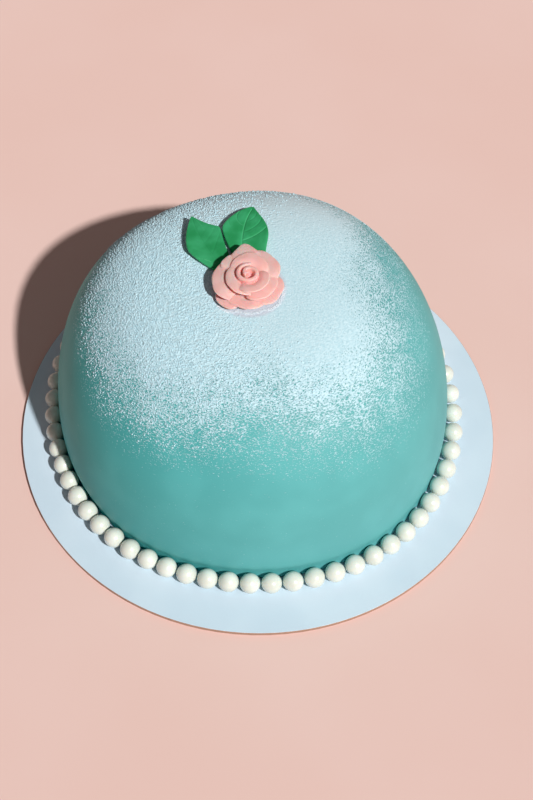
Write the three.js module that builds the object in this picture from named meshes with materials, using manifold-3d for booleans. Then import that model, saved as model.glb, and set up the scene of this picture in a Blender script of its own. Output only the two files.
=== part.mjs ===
// A princess cake on its round cake board: a marzipan-covered dome ringed with sugar pearls,
// with a marzipan rose and two leaves on top.
// Millimetres, +Z up. The origin is the centre of the board's underside.
import * as THREE from 'three';
import { mergeVertices } from 'three/addons/utils/BufferGeometryUtils.js';
import Module from 'manifold-3d';

const wasm = await Module();
wasm.setup();

// ---- Driving dimensions ----

// Where one piece rests on another, the two keep this much apart.
const SEAT_GAP = 0.3;

// The board: a 10 inch disc of coated card.
const BOARD_DIAMETER = 254;
const BOARD_THICKNESS = 2.2;
const BOARD_EDGE_BEVEL = 0.3;

// The cake: its widest line lies low down, and it tucks in under that line.
const CAKE_CENTRE = new THREE.Vector2(-3.2, 7.3);
const CAKE_RADIUS = 105;
const CAKE_HEIGHT = 104.1;
const WIDEST_HEIGHT = 12;
const SIDE_FULLNESS = 4.1;
const TOP_FULLNESS = 1.95;
// Hand-made, so a little out of round: [bumps round the edge, share of the radius, direction of one bump].
const OUT_OF_ROUND = [[2, 0.009, 107], [3, 0.007, 60], [4, 0.010, 59], [5, 0.004, 8]];

// The pearls: a row laid by hand at the foot of the cake, closest together at the front.
const PEARL_DIAMETER = 10.4;
const PEARL_COUNT = 55;
const PEARL_CENTRE_OUTSIDE_CAKE = 4.0;
const PEARL_ROW_SHIFT = 0.9;
const PEARL_ROW_SHIFT_DIRECTION = 330;
const FIRST_PEARL_DIRECTION = 270.7;
const CLOSE_ROW_DIRECTION = 258;
const CLOSE_PITCH_DEGREES = 5.65;
const CLOSE_HALF_WIDTH = 45;
const LOOSE_FROM = 150;

// The rose: petals pressed onto a cone-shaped heart, round a bud rolled from one long petal.
const ROSE_CENTRE = new THREE.Vector2(-5.8, 6.5);
const HEART_PROFILE = [[0, 0], [9.2, 0], [8.6, 2.4], [6.4, 5], [4.4, 7.6], [0, 9.4]];
const PETAL_THICKNESS = 1.2;
const PETAL_FOOT_RADIUS = 3.5;
const PETAL_FOOT_HEIGHT = 0.8;
const PETAL_PEAK_WIDTH = 0.28;
const PETAL_SIDE_DROP = 0.28;
const BUD_WALL = 2.1;
const BUD_TURNS = 1.42;
const BUD_START_DIRECTION = 230;
const BUD_INNER_RADIUS = 1.5;
const BUD_OUTER_RADIUS = 5.2;
const BUD_FLARE = 0.35;
const BUD_FOOT_HEIGHT = 3;
const BUD_HEIGHT = 12.8;
const BUD_DROP = 1.2;

// The leaves: thin, a little hollow along the middle, lying just clear of the cake.
const LEAF_THICKNESS = 1.3;
const LEAF_TIP_HALF_WIDTH = 0.3;
const LEAF_CLEARANCE = 0.9;
const MIDRIB_DEPTH = 0.35;
const MIDRIB_WIDTH = 0.12;

const BOARD_TOP = BOARD_THICKNESS;
const CAKE_FOOT = BOARD_TOP + SEAT_GAP;
const CAKE_TOP = BOARD_TOP + CAKE_HEIGHT;

// ---- Colours ----

function finish(colour, roughness) {
  return new THREE.MeshStandardMaterial({ color: colour, roughness, metalness: 0 });
}

const boardFinish = finish('#d3e0ea', 0.5);
const marzipanFinish = finish('#74bdb9', 0.65);
const pearlFinish = finish('#ece9e0', 0.3);
const roseFinish = finish('#f6b3ab', 0.55);
const leafFinish = finish('#2d9d5f', 0.5);

// ---- Helpers ----

const radians = THREE.MathUtils.degToRad;

// The point at a radius, a direction in degrees and a height.
function polar(radius, degrees, height) {
  return new THREE.Vector3(radius * Math.cos(radians(degrees)), radius * Math.sin(radians(degrees)), height);
}

// Turns a list of points and faces into a geometry whose faces point out.
function closedGeometry(points, faces) {
  let volume = 0;
  for (const [a, b, c] of faces) {
    volume += points[a].dot(new THREE.Vector3().crossVectors(points[b], points[c]));
  }
  const geometry = new THREE.BufferGeometry().setFromPoints(points);
  geometry.setIndex(faces.flatMap(([a, b, c]) => (volume > 0 ? [a, b, c] : [a, c, b])));
  geometry.computeVertexNormals();
  return geometry;
}

// The direction that a surface faces at (u, v), measured over a short step inside its edges.
function facing(surface, u, v) {
  const step = 0.002;
  const [left, right] = [Math.max(u - step, 0), Math.min(u + step, 1)];
  const [below, above] = [Math.max(v - step, 0), Math.min(v + step, 1)];
  const along = surface(right, v).sub(surface(left, v));
  const up = surface(u, above).sub(surface(u, below));
  return along.cross(up).normalize();
}

// A thin closed sheet around surface(u, v), u and v from 0 to 1, with both faces split alike.
function sheet(surface, columns, rows, thickness) {
  const points = [];
  const faces = [];
  const wide = columns + 1;
  const layer = wide * (rows + 1);
  for (const side of [0.5, -0.5]) {
    for (let j = 0; j <= rows; j++) {
      for (let i = 0; i <= columns; i++) {
        const u = i / columns;
        const v = j / rows;
        points.push(surface(u, v).addScaledVector(facing(surface, u, v), side * thickness));
      }
    }
  }
  const quad = (a, b, c, d) => faces.push([a, b, c], [a, c, d]);
  for (let j = 0; j < rows; j++) {
    for (let i = 0; i < columns; i++) {
      const a = j * wide + i;
      const b = a + 1;
      const c = b + wide;
      const d = a + wide;
      quad(a, b, c, d);
      faces.push([layer + a, layer + c, layer + b], [layer + a, layer + d, layer + c]);
    }
  }
  const edge = (a, b) => quad(b, a, layer + a, layer + b);
  for (let i = 0; i < columns; i++) {
    edge(i, i + 1);
    edge(rows * wide + i + 1, rows * wide + i);
  }
  for (let j = 0; j < rows; j++) {
    edge((j + 1) * wide, j * wide);
    edge(j * wide + columns, (j + 1) * wide + columns);
  }
  return closedGeometry(points, faces);
}

function toSolid(geometry) {
  const bare = geometry.clone();
  bare.deleteAttribute('normal');
  bare.deleteAttribute('uv');
  const merged = mergeVertices(bare, 1e-4);
  return new wasm.Manifold(new wasm.Mesh({
    numProp: 3,
    vertProperties: new Float32Array(merged.attributes.position.array),
    triVerts: new Uint32Array(merged.index.array),
  }));
}

function fromSolid(solid) {
  const { vertProperties, triVerts } = solid.getMesh();
  const geometry = new THREE.BufferGeometry();
  geometry.setAttribute('position', new THREE.BufferAttribute(vertProperties, 3));
  geometry.setIndex([...triVerts]);
  geometry.computeVertexNormals();
  return geometry;
}

// Joining can seal in small hollows. Each is a shell of its own, so keeping the largest shell fills them.
function withoutHollows(solid) {
  return solid.decompose().reduce((largest, shell) => (shell.volume() > largest.volume() ? shell : largest));
}

function named(name, geometry, material) {
  const mesh = new THREE.Mesh(geometry, material);
  mesh.name = name;
  return mesh;
}

// A closed turned shape: the profile runs from the axis at the bottom to the axis at the top.
function turned(profile, segments) {
  const lathe = new THREE.LatheGeometry(profile.map(([r, z]) => new THREE.Vector2(r, z)), segments);
  return lathe.rotateX(Math.PI / 2);
}

// ---- The board ----

function makeBoard() {
  const radius = BOARD_DIAMETER / 2;
  const profile = [
    [0, 0],
    [radius - BOARD_EDGE_BEVEL, 0],
    [radius, BOARD_EDGE_BEVEL],
    [radius, BOARD_THICKNESS - BOARD_EDGE_BEVEL],
    [radius - BOARD_EDGE_BEVEL, BOARD_THICKNESS],
    [0, BOARD_THICKNESS],
  ];
  return named('board', turned(profile, 96), boardFinish);
}

// ---- The cake ----

// How far the outline swells out of a circle in one direction, as a share of the radius.
function outline(degrees) {
  return OUT_OF_ROUND.reduce(
    (sum, [bumps, share, direction]) => sum + share * Math.cos(radians(bumps * (degrees - direction))),
    1,
  );
}

function pearlRowRadius(degrees) {
  return CAKE_RADIUS * outline(degrees) + PEARL_CENTRE_OUTSIDE_CAKE
    + PEARL_ROW_SHIFT * Math.cos(radians(degrees - PEARL_ROW_SHIFT_DIRECTION));
}

// The cake's radius at a turn of the side, from 0 at the widest line to 90 at the top.
function domePoint(turn, degrees) {
  const rise = CAKE_HEIGHT - WIDEST_HEIGHT;
  return {
    radius: CAKE_RADIUS * outline(degrees) * Math.cos(radians(turn)) ** (2 / SIDE_FULLNESS),
    height: BOARD_TOP + WIDEST_HEIGHT + rise * Math.sin(radians(turn)) ** (2 / TOP_FULLNESS),
  };
}

// The height of the cake's top at a distance from its middle.
function domeHeight(x, y) {
  const dx = x - CAKE_CENTRE.x;
  const dy = y - CAKE_CENTRE.y;
  const degrees = THREE.MathUtils.radToDeg(Math.atan2(dy, dx));
  const share = Math.hypot(dx, dy) / (CAKE_RADIUS * outline(degrees));
  const turn = THREE.MathUtils.radToDeg(Math.acos(share ** (SIDE_FULLNESS / 2)));
  return domePoint(turn, degrees).height;
}

function makeCake() {
  const segments = 60;
  const tuckSteps = 4;
  const domeSteps = 15;
  const rings = [];
  const tuckRing = (share) => (degrees) => {
    const foot = pearlRowRadius(degrees) - PEARL_DIAMETER / 2 - 1.5 * SEAT_GAP;
    const widest = CAKE_RADIUS * outline(degrees);
    const height = CAKE_FOOT + (WIDEST_HEIGHT - SEAT_GAP) * share;
    return { radius: foot + (widest - foot) * share ** 3, height };
  };
  for (let i = 0; i <= tuckSteps; i++) {
    rings.push(tuckRing(i / tuckSteps));
  }
  for (let i = 1; i < domeSteps; i++) {
    // Steps that shorten towards the top keep the rings evenly spread over the shoulder.
    const turn = 90 * (1 - (1 - i / domeSteps) ** 2);
    rings.push((degrees) => domePoint(turn, degrees));
  }
  const points = rings.flatMap((ring) => Array.from({ length: segments }, (_, k) => {
    const degrees = (360 * k) / segments;
    const { radius, height } = ring(degrees);
    return polar(radius, degrees, height);
  }));
  const faces = [];
  for (let j = 0; j < rings.length - 1; j++) {
    for (let k = 0; k < segments; k++) {
      const next = (k + 1) % segments;
      const [a, b] = [j * segments + k, j * segments + next];
      faces.push([a, b, b + segments], [a, b + segments, a + segments]);
    }
  }
  const foot = points.push(new THREE.Vector3(0, 0, CAKE_FOOT)) - 1;
  const top = points.push(new THREE.Vector3(0, 0, CAKE_TOP)) - 1;
  const lastRing = (rings.length - 1) * segments;
  for (let k = 0; k < segments; k++) {
    const next = (k + 1) % segments;
    faces.push([foot, next, k], [top, lastRing + k, lastRing + next]);
  }
  const cake = named('cake', closedGeometry(points, faces), marzipanFinish);
  cake.position.set(CAKE_CENTRE.x, CAKE_CENTRE.y, 0);
  return cake;
}

// ---- The pearls ----

// Pearls for each degree of the row: most in the close stretch, fewest behind the cake.
function pearlsPerDegree(degrees, loose) {
  const away = Math.abs(THREE.MathUtils.euclideanModulo(degrees - CLOSE_ROW_DIRECTION + 180, 360) - 180);
  const fade = THREE.MathUtils.clamp((away - CLOSE_HALF_WIDTH) / (LOOSE_FROM - CLOSE_HALF_WIDTH), 0, 1);
  const closeness = (1 + Math.cos(Math.PI * fade)) / 2;
  return loose + (1 / CLOSE_PITCH_DEGREES - loose) * closeness;
}

function pearlDirections() {
  const closeArc = CLOSE_HALF_WIDTH + LOOSE_FROM;
  const loose = (PEARL_COUNT - closeArc / CLOSE_PITCH_DEGREES) / (360 - closeArc);
  const step = 0.05;
  const directions = [];
  let passed = 0;
  for (let turn = 0; turn < 360; turn += step) {
    if (passed >= directions.length && directions.length < PEARL_COUNT) {
      directions.push(FIRST_PEARL_DIRECTION + turn);
    }
    passed += step * pearlsPerDegree(FIRST_PEARL_DIRECTION + turn, loose);
  }
  return directions;
}

function makePearls() {
  const row = new THREE.Group();
  row.position.set(CAKE_CENTRE.x, CAKE_CENTRE.y, BOARD_TOP + SEAT_GAP / 2 + PEARL_DIAMETER / 2);
  pearlDirections().forEach((degrees, i) => {
    const ball = new THREE.IcosahedronGeometry(PEARL_DIAMETER / 2, 1);
    const pearl = named(`pearl_${String(i + 1).padStart(2, '0')}`, ball, pearlFinish);
    pearl.position.copy(polar(pearlRowRadius(degrees), degrees, 0));
    row.add(pearl);
  });
  return row;
}

// ---- The rose ----

// A petal stands up from the heart of the rose and opens outwards to its rim. It faces a direction and
// takes up an arc, both in degrees; reach and rise place its rim. Its ends are rounded off by a share,
// its curl turns the rim down, its spiral sets one end further out than the other, and its peak draws
// out the middle of the rim.
function petal({ direction, arc, reach, rise, ends = 0.2, curl = 1, spiral = 0, peak = 0 }) {
  const surface = (u, v) => {
    const across = 2 * u - 1;
    const degrees = direction + (arc / 2) * across;
    const way = v * (1 - ends * across ** 4);
    const opened = (reach - PETAL_FOOT_RADIUS) * way ** 2.1 * (1 + spiral * across);
    const drawnOut = peak * v ** 3 * Math.exp(-((across / PETAL_PEAK_WIDTH) ** 2));
    const climbed = (rise - PETAL_FOOT_HEIGHT) * (1 - (1 - way) ** 2.2) * (1 - PETAL_SIDE_DROP * across ** 4);
    return polar(PETAL_FOOT_RADIUS + opened + drawnOut, degrees, PETAL_FOOT_HEIGHT + climbed - curl * way ** 7);
  };
  return sheet(surface, 10, 5, PETAL_THICKNESS);
}

// The bud winds clockwise from its middle, a little lower on each turn, and flares at its rim.
function bud() {
  const surface = (u, v) => {
    const radius = BUD_INNER_RADIUS + (BUD_OUTER_RADIUS - BUD_INNER_RADIUS) * u + BUD_FLARE * v ** 3;
    const height = BUD_FOOT_HEIGHT + (BUD_HEIGHT - BUD_DROP * u - BUD_FOOT_HEIGHT) * v;
    return polar(radius, BUD_START_DIRECTION - 360 * BUD_TURNS * u, height);
  };
  return sheet(surface, 26, 3, BUD_WALL);
}

// From the heart outwards: three tall petals round the bud, two lower ones in front, then the open ones.
const PETALS = [
  { direction: 312, arc: 180, reach: 11.3, rise: 11.0, ends: 0.34, curl: 0.6, spiral: -0.2 },
  { direction: 195, arc: 165, reach: 11.7, rise: 10.0, ends: 0.15, spiral: 0.15 },
  { direction: 90, arc: 160, reach: 12.7, rise: 10.7, peak: 1.9 },
  { direction: 325, arc: 126, reach: 14.4, rise: 7.8 },
  { direction: 258, arc: 125, reach: 15.8, rise: 4.0, ends: 0.33, spiral: 0.1 },
  { direction: 178, arc: 112, reach: 18.1, rise: 7.8, ends: 0.12, spiral: 0.08 },
  { direction: 136, arc: 50, reach: 16.9, rise: 9.0, curl: 0.6 },
  { direction: 98, arc: 84, reach: 17.3, rise: 9.9, ends: 0.3, peak: 3.9 },
  { direction: 49, arc: 96, reach: 17.7, rise: 9.2, ends: 0.12, spiral: 0.1 },
  { direction: 338, arc: 104, reach: 17.4, rise: 4.8 },
  { direction: 222, arc: 62, reach: 18.6, rise: 3.0 },
];

function makeRose() {
  const pieces = [turned(HEART_PROFILE, 24), bud(), ...PETALS.map(petal)];
  const joined = pieces.map(toSolid).reduce((whole, piece) => whole.add(piece));
  const rose = named('rose', fromSolid(withoutHollows(joined)), roseFinish);
  rose.position.set(ROSE_CENTRE.x, ROSE_CENTRE.y, CAKE_TOP + SEAT_GAP);
  return rose;
}

// ---- The leaves ----

// A leaf's width to one side of its spine, on the way from its foot, 0, to its tip, 1. It widens from
// its foot up to where it is broadest, then draws in: a fuller side keeps its width for longer, and
// a higher taper makes it meet the tip at a sharper angle.
function leafSideWidth({ width, broadestAt, narrowing, fullness, taper }, way) {
  if (way < broadestAt) {
    return width * (1 - narrowing * (1 - way / broadestAt) ** 1.15);
  }
  const toTip = Math.min((way - broadestAt) / (1 - broadestAt), 1);
  return LEAF_TIP_HALF_WIDTH + (width - LEAF_TIP_HALF_WIDTH) * (1 - toTip ** fullness) ** taper;
}

// A leaf lies on the cake from under the rose out to its tip, which bends aside and lifts.
function makeLeaf(name, leaf) {
  const { foot, tip, bend, left, right, midrib, tipLift, cup } = leaf;
  const start = new THREE.Vector2(...foot);
  const end = new THREE.Vector2(...tip);
  const aside = end.clone().sub(start).normalize().rotateAround(new THREE.Vector2(), Math.PI / 2);
  const middle = start.clone().lerp(end, 0.5).addScaledVector(aside, bend);
  const spine = new THREE.QuadraticBezierCurve(start, middle, end);
  const surface = (u, v) => {
    const across = 2 * u - 1;
    const side = across < 0 ? left : right;
    const off = across * leafSideWidth(side, v);
    const place = spine.getPoint(v).addScaledVector(aside, -off);
    const edgeLift = cup * (off / side.width) ** 2;
    const groove = MIDRIB_DEPTH * Math.exp(-(((across + midrib) / MIDRIB_WIDTH) ** 2)) * (1 - v);
    const seat = domeHeight(place.x, place.y) + LEAF_CLEARANCE + LEAF_THICKNESS / 2;
    return new THREE.Vector3(place.x, place.y, seat + tipLift * v ** 2 + edgeLift - groove);
  };
  return named(name, sheet(surface, 12, 16, LEAF_THICKNESS), leafFinish);
}

const LEFT_LEAF = {
  foot: [-17.5, 17.5],
  tip: [-36.0, 51.8],
  bend: 5.0,
  left: { width: 9.5, broadestAt: 0.45, narrowing: 0.5, fullness: 1.5, taper: 1 },
  right: { width: 11.5, broadestAt: 0.65, narrowing: 0.64, fullness: 0.82, taper: 1 },
  midrib: 0,
  tipLift: 2.6,
  cup: 1.4,
};
const RIGHT_LEAF = {
  foot: [-6.8, 22],
  tip: [-4.9, 58.8],
  bend: 5.2,
  left: { width: 12.2, broadestAt: 0.58, narrowing: 0.6, fullness: 1.4, taper: 0.6 },
  right: { width: 11.7, broadestAt: 0.46, narrowing: 0.25, fullness: 2.2, taper: 1.25 },
  midrib: 0.13,
  tipLift: 2.4,
  cup: 0.9,
};

// ---- The whole ----

const cakeOnBoard = new THREE.Group();
cakeOnBoard.add(
  makeBoard(),
  makeCake(),
  makePearls(),
  makeRose(),
  makeLeaf('leaf_left', LEFT_LEAF),
  makeLeaf('leaf_right', RIGHT_LEAF),
);

export default cakeOnBoard;
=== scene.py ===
# %% [markdown]
# # A princess cake on its board
# The cake is a sponge and cream dome under a thin sheet of tinted marzipan, dusted with icing sugar.
# A row of sugar pearls hides the cut edge of the marzipan, and a marzipan rose with two leaves sits
# on top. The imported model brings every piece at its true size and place. The cells below put real
# surfaces over it, so the first step is to load it and note its size.

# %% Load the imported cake
import math
import random
from statistics import NormalDist

import bmesh
import bpy
from mathutils import Matrix, Vector, noise


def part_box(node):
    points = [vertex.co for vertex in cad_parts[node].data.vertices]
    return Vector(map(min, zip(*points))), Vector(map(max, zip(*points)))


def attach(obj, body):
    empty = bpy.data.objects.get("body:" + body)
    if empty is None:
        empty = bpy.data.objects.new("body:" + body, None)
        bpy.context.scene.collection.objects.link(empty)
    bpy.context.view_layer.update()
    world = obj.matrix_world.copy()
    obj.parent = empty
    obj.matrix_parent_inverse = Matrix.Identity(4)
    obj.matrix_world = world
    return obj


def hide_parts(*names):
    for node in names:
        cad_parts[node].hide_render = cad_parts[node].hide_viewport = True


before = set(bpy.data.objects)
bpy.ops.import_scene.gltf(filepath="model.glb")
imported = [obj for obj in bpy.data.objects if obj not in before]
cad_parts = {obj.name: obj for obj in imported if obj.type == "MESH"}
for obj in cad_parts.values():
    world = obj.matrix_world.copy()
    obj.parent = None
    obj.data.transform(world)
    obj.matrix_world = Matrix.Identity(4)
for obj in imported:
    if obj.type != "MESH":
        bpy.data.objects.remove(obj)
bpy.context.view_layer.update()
MM = 0.001
UP = Vector((0, 0, 1))
print("solids in the packed cake:", len(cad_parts))

# %% [markdown]
# ## The camera
# The picture was taken from above the front of the cake, far enough away that the board looks only
# a little wider in front than behind. The board is a true circle, so the ellipse that it makes in
# the picture gives the height and distance of the camera. A camera could also be aimed with a
# Track To constraint, but its own three axes say exactly how it is tilted, roll included.

# %% Place the camera
CAMERA_ELEVATION = math.radians(54.3)
CAMERA_ROLL = math.radians(1.4)
CAMERA_LENS_MM = 67.5
CAMERA_SENSOR_MM = 36
CAMERA_DISTANCE = 812.0 * MM
CAMERA_ASIDE = 4.39 * MM
CAMERA_ABOVE = 11.72 * MM
AIM_HEIGHT = 2.2 * MM


def place_camera():
    ahead = Vector((0, math.cos(CAMERA_ELEVATION), -math.sin(CAMERA_ELEVATION)))
    level = Vector((1, 0, 0))
    upright = level.cross(ahead)
    across = math.cos(CAMERA_ROLL) * level + math.sin(CAMERA_ROLL) * upright
    above = math.cos(CAMERA_ROLL) * upright - math.sin(CAMERA_ROLL) * level
    place = across * CAMERA_ASIDE + above * CAMERA_ABOVE - ahead * CAMERA_DISTANCE
    place.z += AIM_HEIGHT
    bpy.ops.object.camera_add()
    camera = bpy.context.object
    turned = Matrix((across, above, -ahead)).transposed().to_4x4()
    camera.matrix_world = Matrix.Translation(place) @ turned
    camera.data.lens = CAMERA_LENS_MM
    camera.data.sensor_width = CAMERA_SENSOR_MM
    bpy.context.scene.camera = camera
    return place


print("camera at, mm:", [round(c / MM, 1) for c in place_camera()])

# %% [markdown]
# ## The floor and the light
# A wide pale floor catches the shadow. The main lamp shines from the front right, 45 degrees up, so
# the left side of the dome turns away from it. A sun lamp gives the same shadow edge everywhere and
# needs no distance, and an angle of a few degrees softens that edge. A dim, warm sky fills the
# shadows. The camera itself sees a brighter sky behind the floor, which lights nothing. A small
# black level then deepens the darkest shadows of the picture.

# %% Lay the floor and set the lamps
FLOOR_SIZE = 6.0
FLOOR_GAP = 0.05 * MM
KEY_TOWARDS = Vector((0.62, -0.785, 1.0))
KEY_STRENGTH = 3.68
KEY_ANGLE = math.radians(2.5)
KEY_TINT = (0.993, 1.0, 0.977)
SKY_STRENGTH = 0.15
SKY_TINT = (1.0, 0.88, 0.86, 1)
BACKDROP_STRENGTH = 0.8
BLACK_LEVEL = 0.008


def set_the_light():
    bpy.ops.object.light_add(type="SUN")
    key = bpy.context.object
    key.rotation_euler = KEY_TOWARDS.normalized().to_track_quat("Z", "Y").to_euler()
    key.data.energy = KEY_STRENGTH
    key.data.angle = KEY_ANGLE
    key.data.color = KEY_TINT
    sky = bpy.data.worlds.new("studio")
    sky.use_nodes = True
    background = sky.node_tree.nodes["Background"]
    background.inputs["Color"].default_value = SKY_TINT
    seen = sky.node_tree.nodes.new("ShaderNodeLightPath")
    strength = sky.node_tree.nodes.new("ShaderNodeMapRange")
    strength.inputs["To Min"].default_value = SKY_STRENGTH
    strength.inputs["To Max"].default_value = BACKDROP_STRENGTH
    sky.node_tree.links.new(seen.outputs["Is Camera Ray"], strength.inputs["Value"])
    sky.node_tree.links.new(strength.outputs["Result"], background.inputs["Strength"])
    bpy.context.scene.world = sky
    view = bpy.context.scene.view_settings
    view.view_transform = "Standard"
    view.use_curve_mapping = True
    view.curve_mapping.black_level = (BLACK_LEVEL,) * 3


def lay_floor():
    bpy.ops.mesh.primitive_plane_add(size=FLOOR_SIZE, location=(0, 0, -FLOOR_GAP))
    floor = bpy.context.object
    floor.name = "floor"
    return floor


set_the_light()
floor = lay_floor()

# %% [markdown]
# ## Small words for finishes
# Every finish below is one Principled shader with a few noise nodes in front of it. The patterns
# read the object's own coordinates, in metres, so a pattern's size can be given in millimetres and
# stays put when the object is seen from elsewhere. A few helpers keep the cells short.

# %% Helpers for the finishes


def new_finish(name, roughness, specular=0.5):
    material = bpy.data.materials.new(name)
    material.use_nodes = True
    shader = material.node_tree.nodes["Principled BSDF"]
    shader.inputs["Roughness"].default_value = roughness
    shader.inputs["Specular IOR Level"].default_value = specular
    return material, shader


def add_node(material, kind, *wires, **settings):
    """Adds a node, sets its settings, then feeds its sockets with numbers, colours or wires."""
    node = material.node_tree.nodes.new(kind)
    for setting, value in settings.items():
        setattr(node, setting, value)
    for socket, source in wires:
        if isinstance(source, bpy.types.NodeSocket):
            material.node_tree.links.new(source, node.inputs[socket])
        else:
            node.inputs[socket].default_value = source
    return node


def speckle(material, size_mm, detail=2.0, seed=0.0, stretch=(1, 1, 1), place=None):
    """Noise with patches of about size_mm, on the object's own coordinates or on another place."""
    place = place or add_node(material, "ShaderNodeTexCoord").outputs["Object"]
    moved = add_node(
        material, "ShaderNodeMapping", (0, place), ("Location", (seed, seed, seed)), ("Scale", stretch)
    ).outputs[0]
    scale = 1 / (size_mm * MM)
    return add_node(
        material, "ShaderNodeTexNoise", ("Vector", moved), ("Scale", scale), ("Detail", detail)
    ).outputs["Fac"]


def grains(material, size_mm):
    """How far each place is from the middle of the nearest grain, for grains of about size_mm."""
    size = size_mm * MM
    place = add_node(material, "ShaderNodeTexCoord").outputs["Object"]
    wander = add_node(material, "ShaderNodeTexNoise", ("Vector", place), ("Scale", 0.4 / size))
    moved = add_node(
        material, "ShaderNodeVectorMath", (0, wander.outputs["Color"]), (1, (size,) * 3), (2, place),
        operation="MULTIPLY_ADD",
    ).outputs[0]
    return add_node(
        material, "ShaderNodeTexVoronoi", ("Vector", moved), ("Scale", 1 / size), feature="SMOOTH_F1"
    ).outputs["Distance"]


def levels(material, value, low, high, to_low=0.0, to_high=1.0):
    """Stretches the part of value between low and high over the part between to_low and to_high."""
    return add_node(
        material, "ShaderNodeMapRange", (0, value), (1, low), (2, high), (3, to_low), (4, to_high),
        interpolation_type="SMOOTHSTEP",
    ).outputs[0]


def sums(material, operation, first, second):
    return add_node(material, "ShaderNodeMath", (0, first), (1, second), operation=operation).outputs[0]


def blend_colours(material, share, first, second):
    return add_node(
        material, "ShaderNodeMix", ("Factor", share), (6, first), (7, second), data_type="RGBA"
    ).outputs[2]


def relief(material, shader, height, depth_mm):
    bump = add_node(material, "ShaderNodeBump", ("Height", height), ("Distance", depth_mm * MM))
    material.node_tree.links.new(bump.outputs[0], shader.inputs["Normal"])


def colour(red, green, blue):
    """A colour given as 0 to 255, as the linear light that shaders use."""
    linear = [
        c / 255 / 12.92 if c <= 10 else ((c / 255 + 0.055) / 1.055) ** 2.4 for c in (red, green, blue)
    ]
    return (*linear, 1.0)


# %% [markdown]
# ## The floor's finish
# Plain pale paint, faintly uneven, with a little blush in it: it sends warm light back up onto the
# underside of the cake and the pearls, which a grey floor would not.

# %% Paint the floor


def floor_paint():
    material, shader = new_finish("floor_paint", 0.85, 0.2)
    mottle = levels(material, speckle(material, 160, 3), 0.3, 0.7)
    tint = blend_colours(material, mottle, colour(233, 197, 188), colour(235, 201, 193))
    material.node_tree.links.new(tint, shader.inputs["Base Color"])
    return material


floor.data.materials.append(floor_paint())

# %% [markdown]
# ## The board
# A cake board is grey-brown card with pale coated paper glued over it, trimmed by a round die, so
# the brown core shows all along the cut edge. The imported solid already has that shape, with its
# rounded rim, so it stays and only gets its finish. One finish can tell paper from core by the
# distance from the middle, as the paper lies on the flat face and the core is at the rim.

# %% Finish the board
board_low, board_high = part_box("board")
BOARD_RADIUS = board_high.x
BOARD_TOP = board_high.z
PAPER_STOPS_SHORT = 0.25 * MM


def board_card():
    material, shader = new_finish("board_card", 0.45, 0.4)
    place = add_node(material, "ShaderNodeTexCoord").outputs["Object"]
    height = add_node(material, "ShaderNodeSeparateXYZ", (0, place)).outputs["Z"]
    flat = add_node(material, "ShaderNodeVectorMath", (0, place), (1, (1, 1, 0)), operation="MULTIPLY")
    reach = add_node(material, "ShaderNodeVectorMath", (0, flat.outputs[0]), operation="LENGTH")
    rim = BOARD_RADIUS - PAPER_STOPS_SHORT
    core = sums(material, "GREATER_THAN", reach.outputs["Value"], rim)
    under = sums(material, "LESS_THAN", height, BOARD_TOP - PAPER_STOPS_SHORT)
    bare = sums(material, "MAXIMUM", core, under)
    fibres = levels(material, speckle(material, 0.7, 4, stretch=(1, 1, 6)), 0.3, 0.7)
    card = blend_colours(material, fibres, colour(150, 116, 98), colour(184, 148, 128))
    cloud = levels(material, speckle(material, 45, 2), 0.35, 0.65)
    paper = blend_colours(material, cloud, colour(203, 221, 235), colour(210, 227, 240))
    tint = blend_colours(material, bare, paper, card)
    material.node_tree.links.new(tint, shader.inputs["Base Color"])
    relief(material, shader, speckle(material, 1.2, 3), 0.02)
    return material


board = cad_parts["board"]
board.data.materials.clear()
board.data.materials.append(board_card())
print("board, mm across:", round(2 * BOARD_RADIUS / MM, 1))

# %% [markdown]
# ## Small words for modelling
# The pieces are modelled as by hand: start from a primitive, go to edit mode, extrude, scale and
# move what is selected. Operators act on all that is selected, so each piece starts by deselecting
# everything, and faces or vertices are picked by where they are.

# %% Helpers for modelling


def start_clean():
    if bpy.context.object and bpy.context.object.mode != "OBJECT":
        bpy.ops.object.mode_set(mode="OBJECT")
    bpy.ops.object.select_all(action="DESELECT")


def edit(piece):
    """Goes to edit mode on one piece alone."""
    start_clean()
    bpy.context.view_layer.objects.active = piece
    piece.select_set(True)
    bpy.ops.object.mode_set(mode="EDIT")
    bpy.ops.mesh.select_mode(type="VERT")


def pick(piece, numbers):
    """In edit mode, selects just these vertices of the piece."""
    mesh = bmesh.from_edit_mesh(piece.data)
    mesh.verts.ensure_lookup_table()
    for part in (mesh.verts, mesh.edges, mesh.faces):
        for element in part:
            element.select_set(False)
    for number in numbers:
        mesh.verts[number].select_set(True)
    mesh.select_flush(True)
    bmesh.update_edit_mesh(piece.data)


def one_point(place):
    """A new object that is a single vertex, left in edit mode and selected, ready to extrude."""
    start_clean()
    bpy.ops.mesh.primitive_plane_add(size=1 * MM, location=(0, 0, 0))
    bpy.ops.object.mode_set(mode="EDIT")
    bpy.ops.mesh.select_mode(type="VERT")
    bpy.ops.mesh.select_all(action="SELECT")
    bpy.ops.mesh.merge(type="CENTER")
    bpy.ops.transform.translate(value=place)
    return bpy.context.object


def extrude(step=(0, 0, 0)):
    bpy.ops.mesh.extrude_region_move(TRANSFORM_OT_translate={"value": step})


def resize(x, y, z, about):
    bpy.ops.transform.resize(value=(x, y, z), center_override=about)


def tidy_surface(piece):
    """In edit mode: closes doubled seams and turns every face outwards."""
    bpy.ops.mesh.select_all(action="SELECT")
    bpy.ops.mesh.remove_doubles(threshold=0.01 * MM)
    bpy.ops.mesh.normals_make_consistent(inside=False)
    bpy.ops.object.mode_set(mode="OBJECT")


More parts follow.
